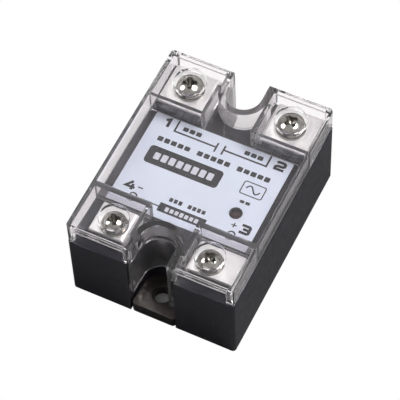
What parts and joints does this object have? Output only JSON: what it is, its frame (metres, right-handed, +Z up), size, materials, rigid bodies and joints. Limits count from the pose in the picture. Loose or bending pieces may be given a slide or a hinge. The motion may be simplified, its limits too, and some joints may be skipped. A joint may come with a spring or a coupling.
{
  "type": "solid state relay",
  "caption": "Panel-mount solid state relay: black moulded body on a metal base, clear lift-off touch guard, screw terminals at both ends and a status lamp.",
  "frame": {"origin": "middle of the base face, on the mounting surface", "axes": "+Z up away from the mounting surface, +Y along the body towards the output terminals 1 and 2, +X across the body"},
  "size_m": [0.045, 0.0584, 0.0284],
  "materials": {
    "housing_black": "fine moulded texture, semi-matt",
    "cover_clear": "clear moulded polycarbonate, glossy",
    "base_metal": "rolled and tumbled, satin",
    "terminal_metal": "bright tin plating",
    "screw_metal": "bright nickel plating",
    "washer_metal": "bright nickel plating",
    "label_print": "silvery pale blue sticker, semi-gloss",
    "led_red": "dark red tinted lens, unlit",
    "ceramic_white": "fired alumina",
    "copper": "bare copper",
    "silicon": "polished silicon",
    "tinned_wire": "tinned copper",
    "board_green": "solder resist over glass fibre",
    "component_black": "moulded epoxy",
    "resistor_blue": "lacquer",
    "capacitor_yellow": "moulded case",
    "resin_dark": "poured epoxy"
  },
  "bodies": {
    "relay_body": {"housing": "housing_black", "base_plate": "base_metal", "label": "label_print", "status_led": "led_red", "ceramic_substrate": "ceramic_white", "copper_areas": "copper", "cathode_clips": "copper", "output_strap_1": "copper", "output_strap_2": "copper", "thyristor_chip_1": "silicon", "thyristor_chip_2": "silicon", "gate_leads": "tinned_wire", "input_pin_3": "tinned_wire", "input_pin_4": "tinned_wire", "circuit_board": "board_green", "optocoupler": "component_black", "driver_transistor": "component_black", "gate_resistors": "resistor_blue", "snubber_capacitor": "capacitor_yellow", "snubber_resistor": "resistor_blue", "potting_resin": "resin_dark", "terminal_plate_1": "terminal_metal", "terminal_plate_2": "terminal_metal", "terminal_plate_3": "terminal_metal", "terminal_plate_4": "terminal_metal"},
    "cover": {"clear_cover": "cover_clear"},
    "washers_1": {"flat_washer_1": "washer_metal", "spring_washer_1": "washer_metal"},
    "screw_1": {"terminal_screw_1": "screw_metal"},
    "washers_2": {"flat_washer_2": "washer_metal", "spring_washer_2": "washer_metal"},
    "screw_2": {"terminal_screw_2": "screw_metal"},
    "washers_3": {"flat_washer_3": "washer_metal", "spring_washer_3": "washer_metal"},
    "screw_3": {"terminal_screw_3": "screw_metal"},
    "washers_4": {"flat_washer_4": "washer_metal", "spring_washer_4": "washer_metal"},
    "screw_4": {"terminal_screw_4": "screw_metal"}
  },
  "joints": [
    {"name": "cover_lift", "type": "slide", "parent": "relay_body", "child": "cover", "axis": [0, 0, 1], "range_m": [0, 0.03]},
    {"name": "screw_1_rise", "type": "slide", "parent": "relay_body", "child": "washers_1", "axis": [0, 0, 1], "range_m": [0, 0.0028]},
    {"name": "screw_1_turn", "type": "hinge", "parent": "washers_1", "child": "screw_1", "pos_m": [-0.014, 0.022, 0.0242], "axis": [0, 0, 1], "range_deg": [0, 1440]},
    {"name": "screw_2_rise", "type": "slide", "parent": "relay_body", "child": "washers_2", "axis": [0, 0, 1], "range_m": [0, 0.0028]},
    {"name": "screw_2_turn", "type": "hinge", "parent": "washers_2", "child": "screw_2", "pos_m": [0.014, 0.022, 0.0242], "axis": [0, 0, 1], "range_deg": [0, 1440]},
    {"name": "screw_3_rise", "type": "slide", "parent": "relay_body", "child": "washers_3", "axis": [0, 0, 1], "range_m": [0, 0.0024]},
    {"name": "screw_3_turn", "type": "hinge", "parent": "washers_3", "child": "screw_3", "pos_m": [0.0129, -0.022, 0.0242], "axis": [0, 0, 1], "range_deg": [0, 1440]},
    {"name": "screw_4_rise", "type": "slide", "parent": "relay_body", "child": "washers_4", "axis": [0, 0, 1], "range_m": [0, 0.0024]},
    {"name": "screw_4_turn", "type": "hinge", "parent": "washers_4", "child": "screw_4", "pos_m": [-0.0129, -0.022, 0.0242], "axis": [0, 0, 1], "range_deg": [0, 1440]}
  ],
  "couplings": [
    {"joint": "screw_1_turn", "follows": "screw_1_rise", "rad_per_m": 8976},
    {"joint": "screw_2_turn", "follows": "screw_2_rise", "rad_per_m": 8976},
    {"joint": "screw_3_turn", "follows": "screw_3_rise", "rad_per_m": 10472},
    {"joint": "screw_4_turn", "follows": "screw_4_rise", "rad_per_m": 10472}
  ]
}
